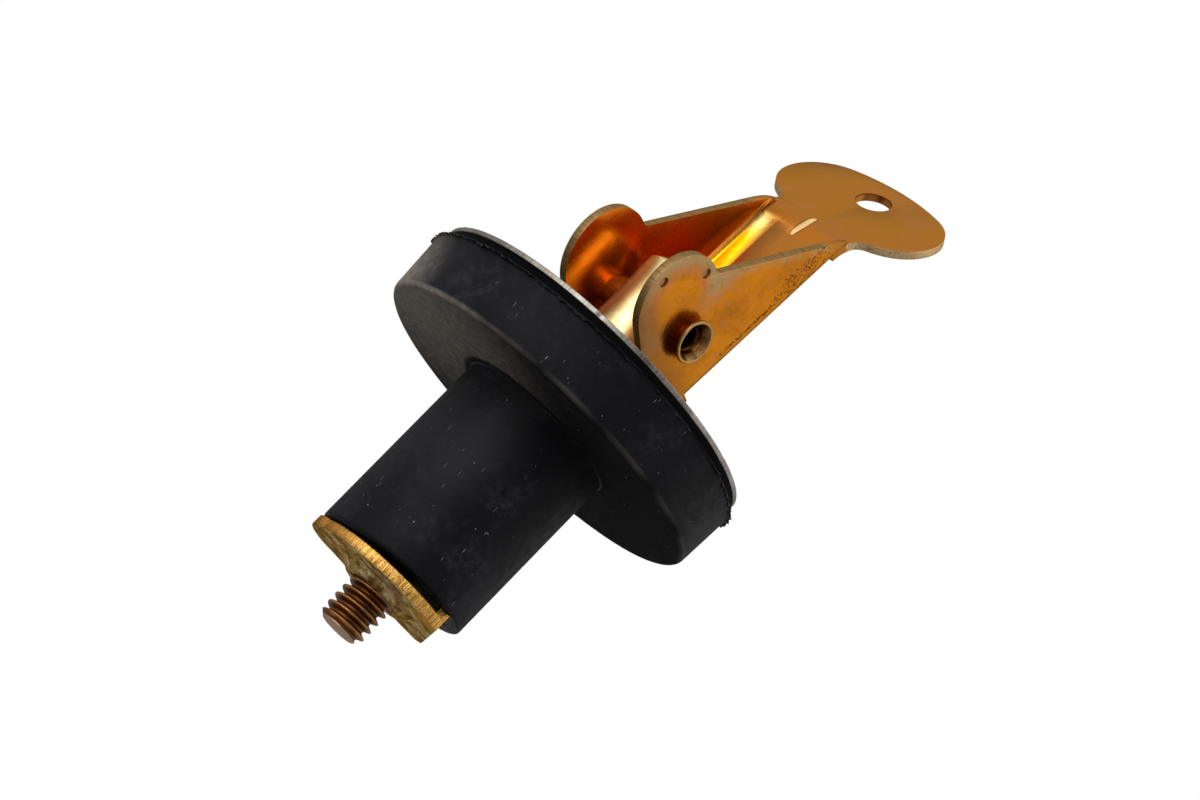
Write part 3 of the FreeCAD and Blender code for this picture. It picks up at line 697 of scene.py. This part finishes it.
def worn_rivet_tube(look):
    """Plated brass tube, flared by hand: pale at the lip where it wore, brown on the wall, and
    darker towards the bore."""
    material, node, shade = new_material("worn_rivet_tube")
    place = node("TexCoord").outputs["Object"]
    centred = node("Mapping", {"Vector": place, "Location": (0.0, 0.0, -PIVOT_Z),
                               "Scale": (1.0, 0.0, 1.0)})
    radius = node("VectorMath", {0: centred}, operation="LENGTH")
    clouds = node("TexNoise", {"Vector": place, "Scale": 1300.0, "Detail": 5.0, "Roughness": 0.7})
    spread = node("Math", {0: clouds, 1: 0.0009, 2: radius}, operation="MULTIPLY_ADD")
    outward = node("MapRange", {"Value": spread, "From Min": look.bore_radius + 0.00025,
                                "From Max": look.flare_radius + 0.0003})
    # Darker towards the bore, paler out to the lip.
    tint = node("ValToRGB", {"Fac": outward},
                stops=[(0.08, look.bore_dark), (0.4, look.stain), (0.75, look.metal)])
    # Between the cheeks the tube keeps its orange plating.
    off_centre = node("Math", {0: node("SeparateXYZ", {0: place}).outputs["Y"]},
                      operation="ABSOLUTE")
    within = node("MapRange", {"Value": off_centre, "From Min": 0.0075, "From Max": 0.0065})
    outside = node("MapRange", {"Value": radius, "From Min": look.tube_radius - 0.0003,
                                "From Max": look.tube_radius - 0.0001})
    sleeve = node("Math", {0: within, 1: outside}, operation="MULTIPLY")
    tint = node("Mix", {0: sleeve, 6: tint, 7: look.plating}, data_type="RGBA")
    shade({"Base Color": tint, "Metallic": 1.0, "Specular Tint": linear("#c0a070"),
           "Roughness": node("MapRange", {"Value": clouds, "To Min": 0.18, "To Max": 0.42}),
           "Normal": node("Bump", {"Height": clouds, "Strength": 0.45, "Distance": 0.00006})})
    return material


def stamped_brass_plate(look):
    """Thick stamped brass: mottled grey-gold faces, a bright gold sheared edge with fine lines
    through its thickness, browner and smoother at its ends."""
    material, node, shade = new_material("stamped_brass_plate")
    place = node("TexCoord").outputs["Object"]
    mottle = node("TexNoise", {"Vector": place, "Scale": 520.0, "Detail": 8.0, "Roughness": 0.8})
    face = node("ValToRGB", {"Fac": mottle},
                stops=[(0.40, look.grime), (0.5, look.face), (0.6, look.pale)])
    # Shear lines 0.15 mm apart, torn a little where the blank broke away.
    upright = node("Mapping", {"Vector": place, "Scale": (7500.0, 7500.0, 500.0)})
    lines = node("TexNoise", {"Vector": upright, "Scale": 1.0, "Detail": 4.0, "Roughness": 0.7,
                              "Distortion": 0.3})
    stripes = node("ValToRGB", {"Fac": lines},
                   stops=[(0.28, look.grime), (0.42, look.dull), (0.56, look.edge)])
    # The long edge is bright in its middle and brown towards both ends.
    along = node("VectorMath", {0: place, 1: look.long_side}, operation="DOT_PRODUCT")
    ends = node("Math", {0: along}, operation="ABSOLUTE")
    ends = node("MapRange", {"Value": ends, "From Min": 0.004, "From Max": 0.008, "To Max": 0.75},
                interpolation_type="SMOOTHSTEP")
    browned = node("Mix", {0: ends, 6: stripes, 7: look.dull}, data_type="RGBA")
    # The corner beside the prong was hammered bright.
    corner = node("VectorMath", {0: place, 1: look.corner}, operation="DISTANCE")
    corner = node("MapRange", {"Value": corner, "From Min": 0.0048, "From Max": 0.0022},
                  interpolation_type="SMOOTHSTEP")
    browned = node("Mix", {0: corner, 6: browned, 7: stripes}, data_type="RGBA")
    sheared = node("Attribute", attribute_name="sheared").outputs["Fac"]
    edge = node("Math", {0: sheared, 1: corner}, operation="MAXIMUM")
    relief = node("Mix", {0: edge, 2: mottle, 3: lines})
    shade({"Base Color": node("Mix", {0: edge, 6: face, 7: browned}, data_type="RGBA"),
           "Metallic": 1.0, "Specular Tint": linear("#d4b482"),
           "Roughness": node("Mix", {0: edge, 2: 0.5, 3: 0.33}),
           "Normal": node("Bump", {"Height": relief, "Strength": 0.7, "Distance": 0.00014})})
    return material


def pale_paint():
    """Matt studio paint: pale to the camera and in reflections, mid grey in the light that it
    sends up on to the object."""
    material, node, shade = new_material("pale_paint")
    seen = node("LightPath").outputs
    tint = node("Mix", {0: seen["Is Glossy Ray"], 6: linear("#808080"), 7: linear("#b0b0b0")},
                data_type="RGBA")
    tint = node("Mix", {0: seen["Is Camera Ray"], 6: tint, 7: linear("#f0f0ee")},
                data_type="RGBA")
    shade({"Base Color": tint, "Roughness": 0.9})
    return material


class DRAINPLUG_OT_rubber(bpy.types.Operator):
    """Moulds the flange and stem as one turned outline with ragged flash"""
    bl_idname = "drainplug.rubber"
    bl_label = "Rubber Plug"

    def execute(self, context):
        look = context.scene.drainplug_rubber
        top, end = RUBBER_HIGH.z, RUBBER_LOW.z
        line = top - look.parting_drop
        lip = 0.0001
        corners = [
            (look.bore_radius, end, 0.0), (look.stem_radius, end, 0.00035),
            (look.stem_radius, 0.0, 0.0002), (look.low_radius, 0.0, 0.0007),
            (look.top_radius, line - 2 * lip, 0.00012),
            (look.top_radius + look.flash, line - lip * 0.6, 0.00004),
            (look.top_radius + look.flash, line + lip * 0.4, 0.00004),
            (look.top_radius - 0.0001, line + 2 * lip, 0.00008),
            (look.land_radius, line + 4 * lip, 0.00025), (look.land_radius, top, 0.00012),
            (look.bore_radius, top, 0.0),
        ]
        outline = rounded(corners, 0.0016, 5)
        radius, height = outline.T
        angles = around(840)
        # Ragged flash: only the lip moves, by a many-waved line cut off at its inner side.
        lip_depth, raggedness = 0.0005, 0.62
        on_lip = np.clip((radius - look.top_radius) / look.flash, 0, 1) * (height > line - lip_depth)
        ragged = 0.7 * harmonics(angles, 260, 3, 0.3) + 0.5 * harmonics(angles, 14, 8)
        lip_move = np.clip(ragged, -1.6, 0.9)[:, None] * on_lip * look.flash * raggedness
        # The moulding is a little out of true outside its bore, and its flange softly uneven.
        off_true, unevenness, true_bore = 0.00006, 0.00016, 0.006
        wander = harmonics(angles, 9, 21, 1.2)[:, None] * off_true * (radius / look.top_radius)
        droop = harmonics(angles, 160, 5, 0.4)[:, None] * on_lip * unevenness
        # The stem's end is drawn down on to the nut plate on the side away from its prong.
        draw_start, draw_width, draw_height = 0.0045, 0.012, 0.003
        plate = context.scene.drainplug_nut.long_side
        towards = radius * (np.cos(angles) * plate[0] + np.sin(angles) * plate[1])[:, None]
        drawn = np.clip((draw_start - towards) / draw_width, 0, 1) ** 1.5
        near_end = np.clip((end + draw_height - height) / draw_height, 0, 1) ** 2
        growth = (lip_move + wander * (radius > true_bore), droop - drawn * near_end * look.end_draw)
        piece = turned("moulded_rubber", outline, angles, matt_black_rubber(look), growth)
        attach(piece, "plug")
        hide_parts("rubber_plug")
        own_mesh(piece)
        return {"FINISHED"}


class DRAINPLUG_OT_washer(bpy.types.Operator):
    """Turns the sheared stainless disc under the lever"""
    bl_idname = "drainplug.washer"
    bl_label = "Cover Washer"

    def execute(self, context):
        look = context.scene.drainplug_washer
        outer, inner = WASHER_HIGH.x, context.scene.drainplug_rubber.bore_radius
        low, high = WASHER_LOW.z, WASHER_HIGH.z
        outline = rounded([(inner, low, 0.0001), (outer, low, look.edge_radius),
                           (outer, high, look.edge_radius), (inner, high, 0.0001)], 0.0009, 8)
        angles = around(480)
        # Only the rim has nicks, where a wavy line dips below its usual range.
        usual, nick_depth, rim_width = 1.4, 0.00008, 0.0004
        nicks = np.minimum(harmonics(angles, 120, 12, 0.4) + usual, 0)[:, None] * nick_depth
        growth = (nicks * (outline[:, 0] > outer - rim_width), 0.0)
        piece = turned("sheared_washer", outline, angles, rolled_stainless_sheet(look), growth)
        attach(piece, "plug")
        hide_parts("cover_washer")
        return {"FINISHED"}


class DRAINPLUG_OT_stud(bpy.types.Operator):
    """Makes the head of the stud from its CAD shape and winds the thread"""
    bl_idname = "drainplug.stud"
    bl_label = "Stud"

    def execute(self, context):
        look = context.scene.drainplug_stud
        head = eased_copy("eye_stud", "stud_head", drawn_brass_bar(look), look.edge_bevel,
                          look.split_height)
        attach(head, "stud")
        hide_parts("eye_stud")

        # Thread: radius is a function of height and angle. The phase height / pitch minus
        # angle / full turn is folded to a triangle with flats, which is the 60 degree form. Its
        # corners are eased, and slow waves of wear run round and along it.
        crest, flank, chamfer_slope, crown = 0.12, 0.66, 1.05, 0.0001
        angles = around(120)
        z, turn = np.meshgrid(np.linspace(STUD_TIP, look.split_height, 300), angles, indexing="ij")
        phase = (z / look.pitch - turn / (2 * np.pi)) % 1.0
        fold = np.abs(phase - 0.5) * 2
        form = np.clip((fold - crest) / flank, 0, 1)
        form = form * form * (3 - 2 * form) * 0.4 + form * 0.6
        radius = look.thread_radius - look.thread_depth * form
        limit = look.thread_radius - look.chamfer + (z - STUD_TIP) * chamfer_slope
        wear = 1 + 0.006 * np.sin(turn * 3 + z * 900) + 0.004 * np.sin(turn * 7 - z * 2100)
        radius = np.minimum(radius, limit) * wear
        # Rings that narrow to a point close the crowned tip and the top.
        inner, lid = np.linspace(0, 1, 7)[:-1, None], np.linspace(1, 0, 3)[1:, None]
        heights = [STUD_TIP - crown * (1 - inner ** 2) + 0 * angles, z,
                   look.split_height + 0 * lid + 0 * angles]
        radius = np.concatenate([radius[0] * inner, radius, radius[-1] * lid])
        points = np.stack([radius * np.cos(angles), radius * np.sin(angles),
                           np.concatenate(heights)], -1)
        thread = surface("stud_thread", points, rolled_brass_thread(look), close_rows=False)
        mesh = bmesh.new()
        mesh.from_mesh(thread.data)
        bmesh.ops.remove_doubles(mesh, verts=mesh.verts, dist=1e-7)
        bmesh.ops.recalc_face_normals(mesh, faces=mesh.faces)
        mesh.to_mesh(thread.data)
        mesh.free()
        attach(thread, "stud")
        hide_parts("eye_stud")
        return {"FINISHED"}


class DRAINPLUG_OT_lever(bpy.types.Operator):
    """Dresses the stamped lever, with eased edges and marks for its sheared edges"""
    bl_idname = "drainplug.lever"
    bl_label = "Cam Lever"

    def execute(self, context):
        look = context.scene.drainplug_lever
        piece = eased_copy("cam_lever", "stamped_lever", tarnished_brass_sheet(look),
                           look.edge_bevel)
        mark_lever(piece.data)
        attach(piece, "lever")
        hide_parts("cam_lever")
        return {"FINISHED"}


def face_arrays(mesh):
    """Centres and normals of a mesh's faces as arrays."""
    arrays = []
    for key in ("center", "normal"):
        numbers = np.empty(len(mesh.polygons) * 3, np.float32)
        mesh.polygons.foreach_get(key, numbers)
        arrays.append(numbers.reshape(-1, 3))
    return arrays


def mark_faces(mesh, name, values):
    """Stores one number for each face."""
    layer = mesh.attributes.new(name, "FLOAT", "FACE")
    layer.data.foreach_set("value", np.asarray(values, np.float32))


def mark_lever(mesh):
    """Marks the sheared edges: in the cheeks, faces square to Y that lie in their thickness;
    on the pad, faces square to its own face. The plating runs on through the pad's hole."""
    centres, normals = face_arrays(mesh)
    local = centres - np.array(lever_point(0, 0))
    along, depth = local @ np.array(UPWARD), local @ np.array(FORWARD)
    outward = np.array([math.cos(LEAN + BEND), 0, math.sin(LEAN + BEND)])
    hole = np.array(lever_point(*HOLE))
    pad_start, hole_clear, cheek_top = 0.0255, 0.0032, 0.0222
    sheet_inside, web_front, steep = 0.0059, -0.0072, 0.8
    on_pad = (along > pad_start) & (np.linalg.norm(centres - hole, axis=1) > hole_clear)
    facing = np.maximum(np.abs(normals @ outward), np.abs(normals @ np.array(FORWARD)))
    pad_edge = on_pad & (facing < steep)
    in_sheet = np.abs(centres[:, 1]) > sheet_inside
    on_cheek = (along < cheek_top) & (depth > web_front)
    cheek_edge = on_cheek & in_sheet & (np.abs(normals[:, 1]) < 0.5)
    foot = (along < 0) & (np.abs(normals @ np.array(UPWARD)) > steep)
    mark_faces(mesh, "sheared", pad_edge | cheek_edge | foot)


class DRAINPLUG_OT_rivet(bpy.types.Operator):
    """Turns the hollow rivet with its ends flared like funnels"""
    bl_idname = "drainplug.rivet"
    bl_label = "Pivot Rivet"

    def execute(self, context):
        look = context.scene.drainplug_rivet
        end, flare, bore = RIVET_HIGH.y, look.flare_radius, look.bore_radius
        side = [(look.tube_radius, CHEEK, 0.0003), (flare, end - look.lip * 1.4, 0.00018),
                (flare, end, 0.00017), (flare - look.lip * 1.5, end, 0.00017),
                (bore + 0.0005, end - 0.0009, 0.0003), (bore + 0.0003, CHEEK + 0.0001, 0.0001),
                (bore, CHEEK - 0.0001, 0.0001), (bore, CHEEK - 0.0012, 0.0)]
        outline = rounded(side + [(r, -y, arc) for r, y, arc in side[::-1]], 0.0003, 8)
        height = outline[:, 1]
        angles = around(160)
        # The flare was struck by hand: its lip wanders and its wall has shallow dents.
        wander, dent = 0.000015, 0.00003
        at_end = np.clip((np.abs(height) - CHEEK) / (end - CHEEK), 0, 1)
        struck = harmonics(angles, 14, 6, 0.9)[:, None] * at_end
        growth = (struck * wander, -np.abs(struck) * np.sign(height) * dent)
        piece = turned("flared_rivet", outline, angles, worn_rivet_tube(look), growth, "Y",
                       (0, 0, PIVOT_Z))
        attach(piece, "lever")
        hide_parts("pivot_rivet")
        return {"FINISHED"}


class DRAINPLUG_OT_nut(bpy.types.Operator):
    """Dresses the stamped nut plate with eased edges"""
    bl_idname = "drainplug.nut"
    bl_label = "Retaining Nut"

    def execute(self, context):
        look = context.scene.drainplug_nut
        piece = eased_copy("retaining_nut", "nut_plate", stamped_brass_plate(look), look.edge_bevel)
        # The sheared edge is every face that stands nearly upright.
        upright = 0.4
        normals = face_arrays(piece.data)[1]
        mark_faces(piece.data, "sheared", np.abs(normals[:, 2]) < upright)
        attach(piece, "nut")
        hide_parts("retaining_nut")
        return {"FINISHED"}


class DRAINPLUG_OT_stage(bpy.types.Operator):
    """Sets the camera, the pale floor, the white surround and the soft lamps"""
    bl_idname = "drainplug.stage"
    bl_label = "Stage"

    def execute(self, context):
        look = context.scene.drainplug_stage
        scene = context.scene
        scene.view_settings.view_transform = "Standard"
        # The camera looks up at the plug from a little below its flange.
        right = Vector((-0.30325, 0.66778, 0.67978))
        up = Vector((0.55333, -0.45738, 0.69615))
        toward = Vector((0.7758, 0.58725, -0.23081))
        turn = Matrix((right, up, toward)).transposed()
        eye = turn @ Vector((0.001023, -0.003671, 0.542823)) + Vector((0, 0, 0.0099))
        camera = new_object("camera", bpy.data.cameras.new("camera"))
        camera.data.lens = look.lens
        camera.data.clip_start = 0.01
        camera.matrix_world = Matrix.Translation(eye) @ turn.to_4x4()
        scene.camera = camera

        half, z = 20.0, look.floor_height
        mesh = bpy.data.meshes.new("floor")
        mesh.from_pydata([(-half, -half, z), (half, -half, z), (half, half, z), (-half, half, z)],
                         [], [(0, 1, 2, 3)])
        mesh.materials.append(pale_paint())
        floor = new_object("floor", mesh)

        world = bpy.data.worlds.new("surround")
        scene.world = world
        world.use_nodes = True
        node = partial(add, world.node_tree)
        seen = node("LightPath").outputs
        clear = node("Math", {0: seen["Is Camera Ray"], 1: seen["Is Transmission Ray"]},
                     operation="MAXIMUM")
        # Reflections see the white surround, dimmer straight before and behind the camera.
        beside = node("VectorMath", {0: node("TexCoord").outputs["Generated"],
                                     1: Vector((0.722, 0.672, 0.16))}, operation="DOT_PRODUCT")
        either = node("Math", {0: beside}, operation="ABSOLUTE")
        mirrored = node("MapRange", {"Value": either, "From Min": 0.3, "From Max": 0.85,
                                     "To Min": 1.0, "To Max": look.room},
                        interpolation_type="SMOOTHSTEP")
        lit = node("MapRange", {"Value": seen["Is Glossy Ray"], "To Min": look.ambient,
                                "To Max": mirrored})
        strength = node("MapRange", {"Value": clear, "To Min": lit, "To Max": 1.0})
        connect(world.node_tree, world.node_tree.nodes["Background"],
                {"Color": (1.0, 1.0, 1.0, 1.0), "Strength": strength})

        centre = Vector((0, 0, 0.01))
        lamps = (("key", (0.96, 0.03, 0.27), 0.62, 0.55, look.key_power),
                 ("fill", (-0.2, 0.9, 0.6), 0.75, 0.4, look.fill_power))
        for name, direction, distance, size, power in lamps:
            lamp = new_object(name, bpy.data.lights.new(name, "AREA"))
            lamp.data.shape = "SQUARE"
            lamp.data.size = size
            lamp.data.energy = power
            aim = Vector(direction).normalized()
            lamp.matrix_world = (Matrix.Translation(centre + aim * distance)
                                 @ aim.to_track_quat("Z", "Y").to_matrix().to_4x4())
        return {"FINISHED"}


class DRAINPLUG_PT_panel(bpy.types.Panel):
    """Lists the drain plug's pieces in the sidebar"""
    bl_idname = "DRAINPLUG_PT_panel"
    bl_label = "Drain Plug"
    bl_space_type = "VIEW_3D"
    bl_region_type = "UI"
    bl_category = "Drain Plug"

    def draw(self, context):
        for operator in OPERATORS:
            self.layout.operator(operator.bl_idname)
        for name in SETTINGS:
            box = self.layout.box()
            box.label(text=name.split("_")[1].title())
            group = getattr(context.scene, name)
            for key in group.__annotations__:
                box.prop(group, key)


SETTINGS = {
    "drainplug_rubber": RubberSettings,
    "drainplug_washer": WasherSettings,
    "drainplug_stud": StudSettings,
    "drainplug_lever": LeverSettings,
    "drainplug_rivet": RivetSettings,
    "drainplug_nut": NutSettings,
    "drainplug_stage": StageSettings,
}
OPERATORS = (DRAINPLUG_OT_rubber, DRAINPLUG_OT_washer, DRAINPLUG_OT_stud, DRAINPLUG_OT_lever,
             DRAINPLUG_OT_rivet, DRAINPLUG_OT_nut, DRAINPLUG_OT_stage)
CLASSES = tuple(SETTINGS.values()) + OPERATORS + (DRAINPLUG_PT_panel,)


def register():
    for item in CLASSES:
        bpy.utils.register_class(item)
    for name, group in SETTINGS.items():
        setattr(bpy.types.Scene, name, bpy.props.PointerProperty(type=group))


def unregister():
    for name in SETTINGS:
        delattr(bpy.types.Scene, name)
    for item in reversed(CLASSES):
        bpy.utils.unregister_class(item)


def main():
    register()
    bpy.ops.drainplug.rubber()
    bpy.ops.drainplug.washer()
    bpy.ops.drainplug.stud()
    bpy.ops.drainplug.lever()
    bpy.ops.drainplug.rivet()
    bpy.ops.drainplug.nut()
    bpy.ops.drainplug.stage()


if __name__ == "__main__":
    main()
